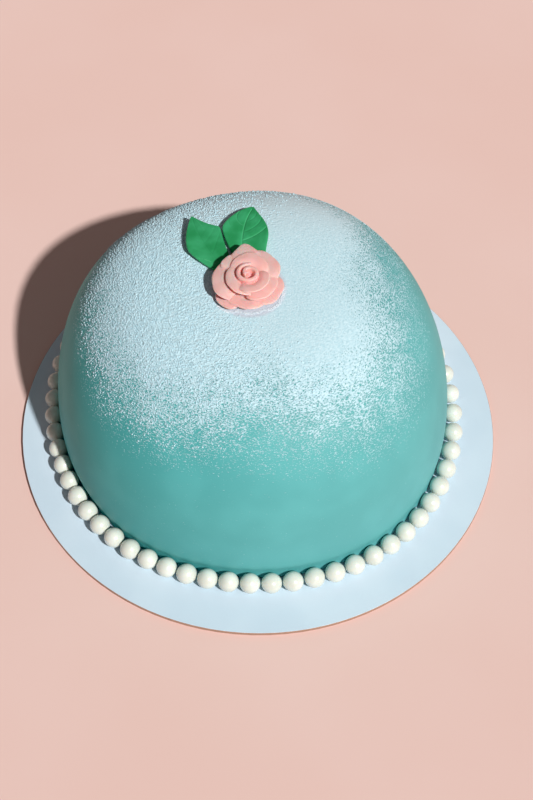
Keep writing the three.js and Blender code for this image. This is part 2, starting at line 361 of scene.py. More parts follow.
def shape_with(piece, kind, **settings):
    """Adds a modifier, sets it and applies it."""
    bpy.context.view_layer.objects.active = piece
    modifier = piece.modifiers.new(kind.lower(), kind)
    for setting, value in settings.items():
        setattr(modifier, setting, value)
    bpy.ops.object.modifier_apply(modifier=modifier.name)


def smooth_faces(piece):
    start_clean()
    piece.select_set(True)
    bpy.context.view_layer.objects.active = piece
    bpy.ops.object.shade_smooth()


def settle(piece, name, material):
    """Names the piece, gives it one finish and puts its place into its mesh."""
    start_clean()
    piece.name = name
    piece.data.name = name
    piece.select_set(True)
    bpy.context.view_layer.objects.active = piece
    bpy.ops.object.transform_apply(location=True, rotation=True, scale=True)
    piece.data.materials.clear()
    piece.data.materials.append(material)
    return piece


def triangles(piece):
    return sum(len(face.vertices) - 2 for face in piece.data.polygons)


# %% [markdown]
# ## The marzipan cover
# The cover hangs over a dome that is widest a thumb's width above the board and tucks in below
# that line. It could be spun from a profile, but a hand-covered cake isn't quite round. So the
# outline comes first, as a ring of vertices pulled in and out by a few per cent. That ring is then
# drawn up like a pot on a wheel: extruded, raised and scaled, ring after ring, and closed on top.

# %% The cake's driving sizes
CAKE_CENTRE = Vector((-3.2 * MM, 7.3 * MM, 0))
CAKE_RADIUS = 105 * MM
WIDEST_ABOVE_BOARD = 12 * MM
SIDE_FULLNESS = 4.1
TOP_FULLNESS = 1.95
OUT_OF_ROUND = [(2, 0.009, 107), (3, 0.007, 60), (4, 0.010, 59), (5, 0.004, 8)]
TUCK = 1.65 * MM
TUCK_SHIFT = 0.9 * MM
TUCK_SHIFT_DIRECTION = math.radians(330)

cake_low, cake_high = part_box("cake")
WIDEST_HEIGHT = BOARD_TOP + WIDEST_ABOVE_BOARD
DOME_RISE = cake_high.z - WIDEST_HEIGHT


def outline(degrees):
    """How far the cake swells out of a circle in one direction."""
    waves = (share * math.cos(math.radians(n * (degrees - turn))) for n, share, turn in OUT_OF_ROUND)
    return 1 + sum(waves)


def dome_ring(turn):
    """The scale and height of a ring of the dome, turn going from 0 at the widest line to 90 on top."""
    scale = math.cos(math.radians(turn)) ** (2 / SIDE_FULLNESS)
    height = WIDEST_HEIGHT + DOME_RISE * math.sin(math.radians(turn)) ** (2 / TOP_FULLNESS)
    return scale, height


# %% Draw up the cover
RING_POINTS = 180
TUCK_RINGS = 6
TUCK_CURVE = 3
DOME_RINGS = 48
RINGS_TOWARDS_TOP = 1.5
FOOT_EDGE = 0.97


def shaped_ring():
    """The cake's outline at the foot, as a ring of vertices left selected in edit mode."""
    start_clean()
    foot = CAKE_CENTRE + UP * cake_low.z
    bpy.ops.mesh.primitive_circle_add(vertices=RING_POINTS, radius=CAKE_RADIUS, location=foot)
    ring = bpy.context.object
    bpy.ops.object.transform_apply(location=True)
    edit(ring)
    for k in range(RING_POINTS):
        pick(ring, [k])
        spot = ring.data.vertices[k].co - CAKE_CENTRE
        swell = outline(math.degrees(math.atan2(spot.y, spot.x)))
        resize(swell, swell, 1, CAKE_CENTRE)
    bpy.ops.mesh.select_all(action="SELECT")
    return ring


def draw_ring(height, scale, now):
    """Extrudes the selected ring to a height, and scales it from its scale now to another."""
    extrude((0, 0, height - now["height"]))
    resize(scale / now["scale"], scale / now["scale"], 1, CAKE_CENTRE + now["shift"])
    now["height"] = height
    now["scale"] = scale


# %% [markdown]
# The rings are spaced closer together towards the top, and the last tiny ring is merged into the
# top point. A Subdivision Surface then makes the sheet smooth.

# %% Close the cover


def make_cover():
    cover = shaped_ring()
    tucked = 1 - TUCK / CAKE_RADIUS
    now = {"height": cake_low.z, "scale": 1.0, "shift": Vector()}
    resize(tucked, tucked, 1, CAKE_CENTRE)
    shift = TUCK_SHIFT * Vector((math.cos(TUCK_SHIFT_DIRECTION), math.sin(TUCK_SHIFT_DIRECTION), 0))
    bpy.ops.transform.translate(value=shift)
    now["scale"] = tucked
    left = shift.copy()
    for i in range(1, TUCK_RINGS + 1):
        share = i / TUCK_RINGS
        draw_ring(cake_low.z + (WIDEST_HEIGHT - cake_low.z) * share,
                  tucked + (1 - tucked) * share ** TUCK_CURVE, now)
        stay = shift * (1 - share ** TUCK_CURVE)
        bpy.ops.transform.translate(value=stay - left)
        left = stay
    for i in range(1, DOME_RINGS):
        scale, height = dome_ring(90 * (1 - (1 - i / DOME_RINGS) ** RINGS_TOWARDS_TOP))
        draw_ring(height, scale, now)
    extrude((0, 0, cake_high.z - now["height"]))
    bpy.ops.mesh.merge(type="CENTER")
    pick(cover, range(RING_POINTS))
    extrude()
    resize(FOOT_EDGE, FOOT_EDGE, 1, CAKE_CENTRE)
    bpy.ops.mesh.edge_face_add()
    bpy.ops.mesh.poke()
    tidy_surface(cover)
    return cover


cover = make_cover()
shape_with(cover, "SUBSURF", levels=1, render_levels=1)
smooth_faces(cover)
cover_top = max(vertex.co.z for vertex in cover.data.vertices)
print("marzipan cover:", triangles(cover), "triangles, top at mm", round(cover_top / MM, 2))

# %% [markdown]
# ## Where the icing sugar lies
# The sugar was sifted from above, so it lies thick on the flat top and fades where the dome grows
# steep, lower on the left than at the front. It also fell in soft patches. The share that it covers
# is worked out once for every vertex and kept as an attribute, so that both the finish and the
# loose grains can read it.

# %% Map the sugar
SUGAR_FADE_TURN = 55.0
SUGAR_FADE_WAVES = [(1, 4.6, 307), (2, 1.7, 203), (3, 2.8, 20), (4, 2.4, 8)]
SUGAR_FADE_HALF_WIDTH = 20
SUGAR_FADE_WIDER_TOWARDS = (5, 302)
SUGAR_PATCHES = [(13, 0.2), (5, 0.16)]
COARSE_TOWARDS = math.radians(190)
COARSE_FULL_REACH = 0.6
COARSE_FOCUS = 1.5


def sugar_share(place):
    """From 0, bare marzipan, to 1, all sugar."""
    spot = place - CAKE_CENTRE
    direction = math.degrees(math.atan2(spot.y, spot.x))
    climb = min(max((place.z - WIDEST_HEIGHT) / DOME_RISE, 0), 1)
    turn = math.degrees(math.asin(climb ** (TOP_FULLNESS / 2)))
    fade = SUGAR_FADE_TURN + sum(
        depth * math.cos(math.radians(n * (direction - towards))) for n, depth, towards in SUGAR_FADE_WAVES
    )
    wider, towards = SUGAR_FADE_WIDER_TOWARDS
    half_width = SUGAR_FADE_HALF_WIDTH + wider * math.cos(math.radians(direction - towards))
    share = min(max((turn - fade) / (2 * half_width) + 0.5, 0), 1)
    share = share * share * (3 - 2 * share)
    patch = sum(noise.noise(place / (size * MM)) * depth for size, depth in SUGAR_PATCHES)
    return min(max(share + patch * 4 * share * (1 - share), 0), 1)


def add_attribute(piece, name, values):
    layer = piece.data.attributes.new(name, "FLOAT", "POINT")
    layer.data.foreach_set("value", values)


def add_places(piece, name, places):
    layer = piece.data.attributes.new(name, "FLOAT_VECTOR", "POINT")
    layer.data.foreach_set("vector", [number for place in places for number in place])


def coarse_share(place, share):
    """The last coarse clumps of the sieve fell on the left and the far side, not on the crown."""
    spot = place - CAKE_CENTRE
    turned = math.atan2(spot.y, spot.x) - COARSE_TOWARDS
    off_crown = min(max(spot.xy.length / CAKE_RADIUS / COARSE_FULL_REACH, 0), 1)
    return share * (0.5 + 0.5 * math.cos(turned)) ** COARSE_FOCUS * off_crown


shares = [sugar_share(vertex.co) for vertex in cover.data.vertices]
add_attribute(cover, "sugar_cover", shares)
coarse = [coarse_share(vertex.co, share) for vertex, share in zip(cover.data.vertices, shares)]
add_attribute(cover, "coarse_cover", coarse)
print("mean sugar cover:", round(sum(shares) / len(shares), 3))

# %% [markdown]
# Sifted sugar slides a little on a slope and is left in short ripples that run level round the dome.
# To stretch a pattern that way, every vertex also keeps a place of its own for patterns: its
# direction, as a point on a small circle, and its way down the side. On that place a round speck
# becomes a streak round the cake, about three times as long as it is high.

# %% Map the way round and down
STREAK_CIRCLE = 30 * MM
SLOPE_STEPS = 90


def slope_lengths():
    """The length of the side from the top down to each ring of the dome."""
    rings = [dome_ring(90 * (1 - i / SLOPE_STEPS)) for i in range(SLOPE_STEPS + 1)]
    lengths = [0.0]
    for before, after in zip(rings, rings[1:]):
        lengths.append(lengths[-1] + math.hypot((after[0] - before[0]) * CAKE_RADIUS, after[1] - before[1]))
    return lengths


def round_and_down(place, lengths):
    spot = place - CAKE_CENTRE
    reach = max(spot.xy.length, 0.1 * MM)
    climb = min(max((place.z - WIDEST_HEIGHT) / DOME_RISE, 0), 1)
    step = (1 - math.degrees(math.asin(climb ** (TOP_FULLNESS / 2))) / 90) * SLOPE_STEPS
    low = min(int(step), SLOPE_STEPS - 1)
    down = lengths[low] + (lengths[low + 1] - lengths[low]) * (step - low)
    down += max(WIDEST_HEIGHT - place.z, 0)
    return spot.x / reach * STREAK_CIRCLE, spot.y / reach * STREAK_CIRCLE, down


lengths = slope_lengths()
add_places(cover, "round_and_down", [round_and_down(vertex.co, lengths) for vertex in cover.data.vertices])
print("the side is", round(lengths[-1] / MM, 1), "mm long from the top to the widest line")

# %% [markdown]
# ## The marzipan's finish
# Marzipan is a matt paste. Where sugar lies on it, the finish turns to pale
# powder in specks under a millimetre wide: a fine noise is compared with a level, and what lies
# below the level is sugar. Noise gathers round its middle value like a bell curve, so the inverse
# of that curve turns each share into the level that covers just that share. Loose grains, added
# below, cover part of it as well, so the painted sugar leaves room for them. Towards the right,
# nearer the lamp, the paste is greyed a little: partly a film of the finest sugar, partly painted
# sheen. Towards the back the powder is painted a more neutral white, a painted reflection of the
# blush floor seen at the far rim. Round the foot of the rose it is painted lilac grey, painted
# shade under the rose. Its ripples and grit stand higher where the coarse clumps fell.

# %% Finish the cover
MARZIPAN_TINTS = (colour(70, 171, 172), colour(78, 179, 180))
# Painted sheen, partly a real film of sugar dust: grey mixed into the paste on the side nearer the lamp.
DUST_AND_SHEEN_TINT = colour(160, 160, 162)
DUST_AND_SHEEN_TOWARDS = Vector((math.cos(math.radians(340)), math.sin(math.radians(340)), 0))
DUST_AND_SHEEN_SHARES = (0.0, 0.17)
SUGAR_TINTS = (colour(187, 221, 232), colour(211, 237, 246))
# Painted reflection: the powder turns a more neutral white towards the back, at the far rim.
FAR_RIM_REFLECTION_TINT = colour(209, 226, 233)
FAR_RIM_REFLECTION_FROM_TO = (25 * MM, 85 * MM)
ROSE_CENTRE = Vector((-5.8 * MM, 6.5 * MM, 0))
# Painted shade: lilac grey in the powder round the rose's foot, the shade under the rose.
ROSE_SHADE_REACH = (17 * MM, 19.3 * MM)
ROSE_SHADE_TINT = colour(200, 196, 210)
SPECK_MM = 0.45
GRIT_MM = 0.8
SPECK_SPREAD = 0.08
LOOSE_SHARE = 0.2
LOOSE_RISES_OVER = 0.3
LOOSE_STOPS_AT = 0.95
LOOSE_FALLS_OVER = 0.4
LEAST_SHARE = 0.001
MOST_SHARE = 0.999

bell = NormalDist(0.5, SPECK_SPREAD)


def painted_level(share):
    fading = max((LOOSE_STOPS_AT - share) / LOOSE_FALLS_OVER, 0)
    loose = LOOSE_SHARE * min(share / LOOSE_RISES_OVER, 1, fading)
    painted = (share - loose) / (1 - loose)
    return bell.inv_cdf(min(max(painted, LEAST_SHARE), MOST_SHARE))


add_attribute(cover, "sugar_level", [painted_level(share) for share in shares])


def dusted_marzipan():
    material, shader = new_finish("dusted_marzipan", 0.5, 0.22)
    level = add_node(material, "ShaderNodeAttribute", attribute_name="sugar_level").outputs["Fac"]
    way = add_node(material, "ShaderNodeAttribute", attribute_name="round_and_down").outputs["Vector"]
    grain = speckle(material, SPECK_MM, 3, place=way)
    thickness = levels(material, level, 0.36, 0.6, 0.66, 1.0)
    laid = levels(material, sums(material, "SUBTRACT", level, grain), -0.07, 0.07)
    sugar = sums(material, "MULTIPLY", laid, thickness)
    paste = blend_colours(material, levels(material, speckle(material, 30), 0.35, 0.65), *MARZIPAN_TINTS)
    # Painted sheen, partly sugar dust: the paste greys towards the side nearer the lamp.
    facing = add_node(
        material, "ShaderNodeVectorMath", (0, way), (1, DUST_AND_SHEEN_TOWARDS), operation="DOT_PRODUCT"
    ).outputs["Value"]
    dust_and_sheen = levels(material, facing, -STREAK_CIRCLE, STREAK_CIRCLE, *DUST_AND_SHEEN_SHARES)
    paste = blend_colours(material, dust_and_sheen, paste, DUST_AND_SHEEN_TINT)
    mottle = levels(material, speckle(material, 0.8, 3, 3, place=way), 0.3, 0.7)
    powder = blend_colours(material, mottle, *SUGAR_TINTS)
    place = add_node(material, "ShaderNodeTexCoord").outputs["Object"]
    # Painted reflection: the powder turns a more neutral white towards the back.
    back = add_node(material, "ShaderNodeSeparateXYZ", (0, place)).outputs["Y"]
    powder = blend_colours(material, levels(material, back, *FAR_RIM_REFLECTION_FROM_TO), powder, FAR_RIM_REFLECTION_TINT)
    # Painted shade: the powder turns lilac grey round the rose's foot.
    away = add_node(
        material, "ShaderNodeVectorMath", (0, place), (1, ROSE_CENTRE + UP * cake_high.z),
        operation="DISTANCE",
    ).outputs["Value"]
    pressed = levels(material, away, ROSE_SHADE_REACH[0], ROSE_SHADE_REACH[1], 0.6, 0)
    powder = blend_colours(material, pressed, powder, ROSE_SHADE_TINT)
    tint = blend_colours(material, sugar, paste, powder)
    material.node_tree.links.new(tint, shader.inputs["Base Color"])
    dull = levels(material, sugar, 0, 1, 0.5, 0.9)
    material.node_tree.links.new(dull, shader.inputs["Roughness"])
    coarse = add_node(material, "ShaderNodeAttribute", attribute_name="coarse_cover").outputs["Fac"]
    rippled = sums(
        material, "MULTIPLY",
        levels(material, level, 0.3, 0.55, 0.4, 1.6), levels(material, coarse, 0, 0.7, 0.45, 2.0),
    )
    ripples = sums(material, "MULTIPLY", speckle(material, 1.1, 3, 7, place=way), rippled)
    gritty = sums(
        material, "MULTIPLY", levels(material, level, 0.32, 0.56), levels(material, coarse, 0, 0.7, 0.4, 1.3)
    )
    grit = sums(material, "MULTIPLY", grains(material, GRIT_MM), sums(material, "MULTIPLY", gritty, -1.0))
    heap = sums(material, "ADD", sums(material, "ADD", sums(material, "MULTIPLY", sugar, 0.5), ripples), grit)
    relief(material, shader, heap, 0.3)
    return material


settle(cover, "marzipan_cover", dusted_marzipan())
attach(cover, "root")
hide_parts("cake")

# %% [markdown]
# ## The loose sugar
# Close to, the dusting is thousands of small clumps and flakes, each casting its own speck of
# shadow. They could be particles, but a particle isn't mesh. Geometry Nodes scatter points over a
# copy of the cover, as thickly as the sugar map says, set a grain on each and make them real mesh.

# %% Make one grain of each kind


def one_grain(name, size_mm):
    """A small lump: a four-sided sphere, squashed and made a little uneven."""
    start_clean()
    bpy.ops.mesh.primitive_uv_sphere_add(segments=4, ring_count=2, radius=0.5 * MM)
    grain = bpy.context.object
    edit(grain)
    bpy.ops.mesh.select_all(action="SELECT")
    resize(*size_mm, (0, 0, 0))
    bpy.ops.transform.vertex_random(offset=0.08 * MM, seed=4)
    bpy.ops.object.mode_set(mode="OBJECT")
    grain.name = name
    return grain


# %% [markdown]
# The node tree below is the scattering machine. The map says how many grains fall where, and the
# grains are set upright on the surface, laid level round the dome like the ripples, give or take a
# random turn, and varied in size.

# %% Build the scattering machine
SPIN = 0.9
SQUARE_MM_PER_SQUARE_METRE = 1e6


def scatter_tree(grain, per_square_mm, shares, sizes, seed, where):
    tree = bpy.data.node_groups.new("scatter_" + grain.name, "GeometryNodeTree")
    tree.interface.new_socket("Geometry", in_out="INPUT", socket_type="NodeSocketGeometry")
    tree.interface.new_socket("Geometry", in_out="OUTPUT", socket_type="NodeSocketGeometry")

    def put(kind, *wires, **settings):
        node = tree.nodes.new(kind)
        for setting, value in settings.items():
            setattr(node, setting, value)
        for socket, source in wires:
            if isinstance(source, bpy.types.NodeSocket):
                tree.links.new(source, node.inputs[socket])
            else:
                node.inputs[socket].default_value = source
        return node

    way_in = put("NodeGroupInput")
    share = put("GeometryNodeInputNamedAttribute", ("Name", where), data_type="FLOAT")
    rising = put("ShaderNodeMapRange", (0, share.outputs[0]), (1, shares[0]), (2, shares[1]))
    falling = put("ShaderNodeMapRange", (0, share.outputs[0]), (1, shares[3]), (2, shares[2]))
    band = put("ShaderNodeMath", (0, rising.outputs[0]), (1, falling.outputs[0]), operation="MULTIPLY")
    amount = put("ShaderNodeMath", (0, band.outputs[0]), (1, per_square_mm * SQUARE_MM_PER_SQUARE_METRE),
                 operation="MULTIPLY")
    points = put("GeometryNodeDistributePointsOnFaces", (0, way_in.outputs[0]),
                 ("Density", amount.outputs[0]), ("Seed", seed))
    place = put("GeometryNodeInputPosition")
    spot = put("ShaderNodeVectorMath", (0, place.outputs[0]), (1, CAKE_CENTRE), operation="SUBTRACT")
    level = put("ShaderNodeVectorMath", (0, spot.outputs[0]), (1, UP), operation="CROSS_PRODUCT")
    along = put("FunctionNodeAlignRotationToVector", ("Rotation", points.outputs["Rotation"]),
                ("Vector", level.outputs[0]), axis="X", pivot_axis="Z")
    spin = put("FunctionNodeRandomValue", ("Min", (0, 0, -SPIN)), ("Max", (0, 0, SPIN)), ("Seed", seed + 1),
               data_type="FLOAT_VECTOR")
    lean = put("FunctionNodeRotateRotation", (0, along.outputs[0]), (1, spin.outputs[0]),
               rotation_space="LOCAL")
    size = put("FunctionNodeRandomValue", (2, sizes[0]), (3, sizes[1]), ("Seed", seed + 2), data_type="FLOAT")
    model = put("GeometryNodeObjectInfo", ("Object", grain))
    placed = put("GeometryNodeInstanceOnPoints", ("Points", points.outputs["Points"]),
                 ("Instance", model.outputs["Geometry"]), ("Rotation", lean.outputs[0]),
                 ("Scale", size.outputs[1]))
    real = put("GeometryNodeRealizeInstances", (0, placed.outputs[0]))
    put("NodeGroupOutput", (0, real.outputs[0]))
    return tree


def scatter(name, grain, material, per_square_mm, shares, sizes, seed, base=cover, where="sugar_cover"):
    """A new piece: this grain scattered over the base where its map's shares lie within shares."""
    start_clean()
    base.select_set(True)
    bpy.context.view_layer.objects.active = base
    bpy.ops.object.duplicate()
    sugar = bpy.context.object
    sugar.parent = None
    for key in [key for key in sugar.keys() if key.startswith("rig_")]:
        del sugar[key]
    tree = scatter_tree(grain, per_square_mm, shares, sizes, seed, where)
    shape_with(sugar, "NODES", node_group=tree)
    settle(sugar, name, material)
    smooth_faces(sugar)
    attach(sugar, "root")
    bpy.data.objects.remove(grain)
    print(name, triangles(sugar), "triangles")
    return sugar


# %% Sift the sugar


def sugar_powder():
    material, shader = new_finish("sugar_powder", 0.85, 0.3)
    tint = blend_colours(material, levels(material, speckle(material, 2.5), 0.3, 0.7), colour(186, 215, 226),
                         colour(206, 231, 240))
    material.node_tree.links.new(tint, shader.inputs["Base Color"])
    relief(material, shader, speckle(material, 0.25, 2), 0.04)
    return material


powder = sugar_powder()
scatter(
    "sugar_flakes", one_grain("flake", (0.85, 0.3, 0.2)), powder,
    per_square_mm=0.75, shares=(0.02, 0.35, 0.5, 1.12), sizes=(0.6, 1.3), seed=11,
)
scatter(
    "sugar_clumps", one_grain("clump", (0.95, 0.75, 0.75)), powder,
    per_square_mm=1.7, shares=(0.1, 0.9, 2.0, 3.0), sizes=(0.55, 1.35), seed=23, where="coarse_cover",
)
scatter(
    "sugar_specks", one_grain("speck", (0.36, 0.3, 0.18)), powder,
    per_square_mm=0.5, shares=(0.0, 0.25, 0.4, 0.8), sizes=(0.6, 1.2), seed=37,
)

# %% [markdown]
# ## The pearls
# Sugar pearls are rolled in a drum until they are round, then polished, so each is nearly a
# perfect ball with a soft sheen. A cube that is subdivided and blown up into a ball has even faces
# and no pinched poles. One pearl is modelled, and a copy goes to every packed pearl's place, each
# turned its own way so that their slight unevenness differs.

# %% Model one pearl
pearl_names = sorted(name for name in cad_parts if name.startswith("pearl_"))
PEARL_DIAMETER = 10.4 * MM
PEARL_CUTS = 11
PEARL_SQUASH = (1, 0.99, 0.985)


def one_pearl():
    start_clean()
    bpy.ops.mesh.primitive_cube_add(size=PEARL_DIAMETER)
    pearl = bpy.context.object
    edit(pearl)
    bpy.ops.mesh.select_all(action="SELECT")
    bpy.ops.mesh.subdivide(number_cuts=PEARL_CUTS)
    bpy.ops.transform.tosphere(value=1)
    bpy.ops.object.mode_set(mode="OBJECT")
    reach = max(vertex.co.length for vertex in pearl.data.vertices)
    edit(pearl)
    bpy.ops.mesh.select_all(action="SELECT")
    k = PEARL_DIAMETER / 2 / reach
    resize(k, k, k, (0, 0, 0))
    resize(*PEARL_SQUASH, (0, 0, 0))
    bpy.ops.object.mode_set(mode="OBJECT")
    return pearl


def pearl_sugar():
    material, shader = new_finish("pearl_sugar", 0.32, 0.5)
    shader.inputs["Coat Weight"].default_value = 0.35
    shader.inputs["Coat Roughness"].default_value = 0.25
    shader.inputs["Subsurface Weight"].default_value = 0.25
    shader.inputs["Subsurface Radius"].default_value = (1.0, 0.8, 0.6)
    shader.inputs["Subsurface Scale"].default_value = 1.2 * MM
    tint = blend_colours(material, levels(material, speckle(material, 9), 0.35, 0.65), colour(218, 221, 211),
                         colour(228, 231, 222))
    material.node_tree.links.new(tint, shader.inputs["Base Color"])
    relief(material, shader, speckle(material, 1.6, 2), 0.02)
    return material


# %% Lay the row of pearls
FULL_TURN = 6.28


def lay_pearls():
    first = one_pearl()
    smooth_faces(first)
    chance = random.Random(5)
    row = []
    for name in pearl_names:
        start_clean()
        first.select_set(True)
        bpy.context.view_layer.objects.active = first
        bpy.ops.object.duplicate()
        pearl = bpy.context.object
        low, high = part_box(name)
        pearl.location = (low + high) / 2
        pearl.rotation_euler = [chance.uniform(0, FULL_TURN) for _ in range(3)]
        row.append(pearl)
    bpy.data.objects.remove(first)
    start_clean()
    for pearl in row:
        pearl.select_set(True)
    bpy.context.view_layer.objects.active = row[0]
    bpy.ops.object.join()
    return settle(bpy.context.object, "pearl_row", pearl_sugar())


pearls = lay_pearls()
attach(pearls, "root")
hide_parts(*pearl_names)
print("pearls:", len(pearl_names), "with", triangles(pearls), "triangles")

# %% [markdown]
# ## The rose
# A marzipan rose is built by hand: a strip is rolled up for the bud, and flattened petals are
# pressed round it one by one, each overlapping the last, with their rims curled out. Each petal is
# a curved profile spun part of the way round the middle; its columns are then scaled so that the
# petal rounds off at both ends. The sheets are then thickened, least at the petals' rims. Pressing
# them together is left to a Remesh, which fuses what overlaps into one body, as the soft paste does.

# %% The rose's sizes
rose_low, rose_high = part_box("rose")
ROSE_FOOT = ROSE_CENTRE + UP * rose_low.z
HEART_PROFILE = [(9.2, 0), (8.6, 2.4), (6.4, 5), (4.4, 7.6)]
HEART_TOP = 9.4
HEART_SIDES = 32
PETAL_THICKNESS = 1.25 * MM
PETAL_FOOT_RADIUS = 3.5
PETAL_FOOT_HEIGHT = 0.8
PETAL_OPENING = 2.1
PETAL_CLIMB = 2.2
PETAL_SIDE_DROP = 0.28
PETAL_PEAK_WIDTH = 0.28
PETAL_RIM_THICKNESS = 0.45
PETAL_WAVE = 0.012
PETAL_ROWS = 9
PETAL_COLUMNS = 24
PETALS = [
    {"direction": 312, "arc": 180, "reach": 11.3, "rise": 11.0, "ends": 0.44, "curl": 0.6, "spiral": -0.2},
    {"direction": 195, "arc": 165, "reach": 11.7, "rise": 10.0, "ends": 0.15, "spiral": 0.15},
    {"direction": 90, "arc": 160, "reach": 12.7, "rise": 10.7, "ends": 0.34, "peak": 1.9},
    {"direction": 325, "arc": 126, "reach": 14.4, "rise": 7.8},
    {"direction": 258, "arc": 125, "reach": 15.8, "rise": 4.0, "ends": 0.33, "spiral": 0.1},
    {"direction": 178, "arc": 112, "reach": 18.1, "rise": 7.8, "ends": 0.12, "spiral": 0.08},
    {"direction": 136, "arc": 50, "reach": 16.9, "rise": 9.0, "curl": 0.6},
    {"direction": 98, "arc": 84, "reach": 17.3, "rise": 9.9, "ends": 0.3, "peak": 3.9},
    {"direction": 49, "arc": 96, "reach": 17.7, "rise": 9.2, "ends": 0.12, "spiral": 0.1},
    {"direction": 338, "arc": 104, "reach": 17.4, "rise": 4.8},
    {"direction": 222, "arc": 62, "reach": 18.6, "rise": 3.0},
]


def polar(radius_mm, degrees, height_mm):
    """A place in the rose, from its radius, direction and height above its foot."""
    turn = math.radians(degrees)
    return ROSE_FOOT + Vector((math.cos(turn) * radius_mm, math.sin(turn) * radius_mm, height_mm)) * MM


# %% Spin a petal


def petal_profile(reach, rise, curl, way):
    """Radius and height of the petal's middle line, way going from 0 at its foot to 1 at its rim."""
    radius = PETAL_FOOT_RADIUS + (reach - PETAL_FOOT_RADIUS) * way ** PETAL_OPENING
    height = PETAL_FOOT_HEIGHT + (rise - PETAL_FOOT_HEIGHT) * (1 - (1 - way) ** PETAL_CLIMB)
    return radius, height - curl * way ** 7


def make_petal(direction, arc, reach, rise, ends=0.2, curl=1.0, spiral=0.0, peak=0.0):
    start = direction + arc / 2
    ways = [j / PETAL_ROWS for j in range(PETAL_ROWS + 1)]
    line = [petal_profile(reach, rise, curl, way) for way in ways]
    petal = one_point(polar(line[0][0], start, line[0][1]))
    for before, after in zip(line, line[1:]):
        extrude(polar(after[0], start, after[1]) - polar(before[0], start, before[1]))
    bpy.ops.mesh.select_all(action="SELECT")
    bpy.ops.mesh.spin(steps=PETAL_COLUMNS, angle=math.radians(arc), center=ROSE_FOOT, axis=(0, 0, 1))
    bpy.ops.object.mode_set(mode="OBJECT")
    shape_columns(petal, direction, arc, ends, spiral, peak / (reach - PETAL_FOOT_RADIUS))
    return petal


def shape_columns(petal, direction, arc, ends, spiral, peak):
    """Scales each column of the petal about its foot, least in the middle and most at the ends."""
    columns = {}
    rim = petal.vertex_groups.new(name="thick")
    for vertex in petal.data.vertices:
        spot = petal.matrix_world @ vertex.co - ROSE_FOOT
        turn = math.degrees(math.atan2(spot.y, spot.x)) - direction
        across = ((turn + 180) % 360 - 180) / (arc / 2)
        columns.setdefault(round(across * PETAL_COLUMNS / 2), []).append(vertex.index)
    for column in columns.values():
        for j, number in enumerate(sorted(column, key=lambda number: petal.data.vertices[number].co.z)):
            rim.add([number], 1 - (j / PETAL_ROWS) ** 2, "REPLACE")
    edit(petal)
    for number, column in sorted(columns.items()):
        across = number / (PETAL_COLUMNS / 2)
        way = 1 - ends * across ** 4
        outward = way ** PETAL_OPENING * (1 + spiral * across)
        outward += peak * math.exp(-((across / PETAL_PEAK_WIDTH) ** 2))
        outward += PETAL_WAVE * math.sin(across * arc / 11 + direction)
        upward = (1 - (1 - way) ** PETAL_CLIMB) * (1 - PETAL_SIDE_DROP * across ** 4)
        pick(petal, column)
        foot = polar(PETAL_FOOT_RADIUS, direction + across * arc / 2, PETAL_FOOT_HEIGHT)
        resize(outward, outward, upward, foot)
    tidy_surface(petal)


# %% Roll the bud
BUD_TURNS = 1.42
BUD_START_DIRECTION = 230
BUD_INNER_RADIUS = 1.5
BUD_OUTER_RADIUS = 5.2
BUD_FLARE = 0.35
BUD_FOOT_HEIGHT = 3
BUD_HEIGHT = 12.8
BUD_DROP = 1.2
BUD_WALL = 2.1 * MM
BUD_ROWS = 4
BUD_COLUMNS = 60


def bud_point(along, way):
    """A place on the rolled strip: along runs round the roll and way goes from foot to rim."""
    radius = BUD_INNER_RADIUS + (BUD_OUTER_RADIUS - BUD_INNER_RADIUS) * along + BUD_FLARE * way ** 3
    height = BUD_FOOT_HEIGHT + (BUD_HEIGHT - BUD_DROP * along - BUD_FOOT_HEIGHT) * way
    return polar(radius, BUD_START_DIRECTION - 360 * BUD_TURNS * along, height)


def make_bud():
    """The upright edge of the strip is extruded and turned a little at a time, as it is rolled."""
    bud = one_point(bud_point(0, 0))
    for j in range(BUD_ROWS):
        extrude(bud_point(0, (j + 1) / BUD_ROWS) - bud_point(0, j / BUD_ROWS))
    bpy.ops.mesh.select_all(action="SELECT")
    step = 360 * BUD_TURNS / BUD_COLUMNS
    for i in range(BUD_COLUMNS):
        now, after = i / BUD_COLUMNS, (i + 1) / BUD_COLUMNS
        extrude()
        bpy.ops.transform.rotate(value=math.radians(step), orient_axis="Z", center_override=ROSE_FOOT)
        wider = (bud_point(after, 0) - ROSE_FOOT).xy.length / (bud_point(now, 0) - ROSE_FOOT).xy.length
        resize(wider, wider, 1, ROSE_FOOT)
        lower = (bud_point(after, 1).z - bud_point(after, 0).z) / (bud_point(now, 1).z - bud_point(now, 0).z)
        resize(1, 1, lower, polar(0, 0, BUD_FOOT_HEIGHT))
    tidy_surface(bud)
    return bud


# %% Make the heart of the rose


def make_heart():
    """The cone under the petals: a ring drawn up and in, closed above and below."""
    start_clean()
    bpy.ops.mesh.primitive_circle_add(
        vertices=HEART_SIDES, radius=HEART_PROFILE[0][0] * MM, location=ROSE_FOOT, fill_type="NGON"
    )
    heart = bpy.context.object
    bpy.ops.object.mode_set(mode="EDIT")
    for before, after in zip(HEART_PROFILE, HEART_PROFILE[1:]):
        extrude((0, 0, (after[1] - before[1]) * MM))
        k = after[0] / before[0]
        resize(k, k, 1, ROSE_FOOT)
    extrude((0, 0, (HEART_TOP - HEART_PROFILE[-1][1]) * MM))
    bpy.ops.mesh.merge(type="CENTER")
    tidy_surface(heart)
    return heart


# %% Press the rose together
ROSE_VOXEL = 0.27 * MM


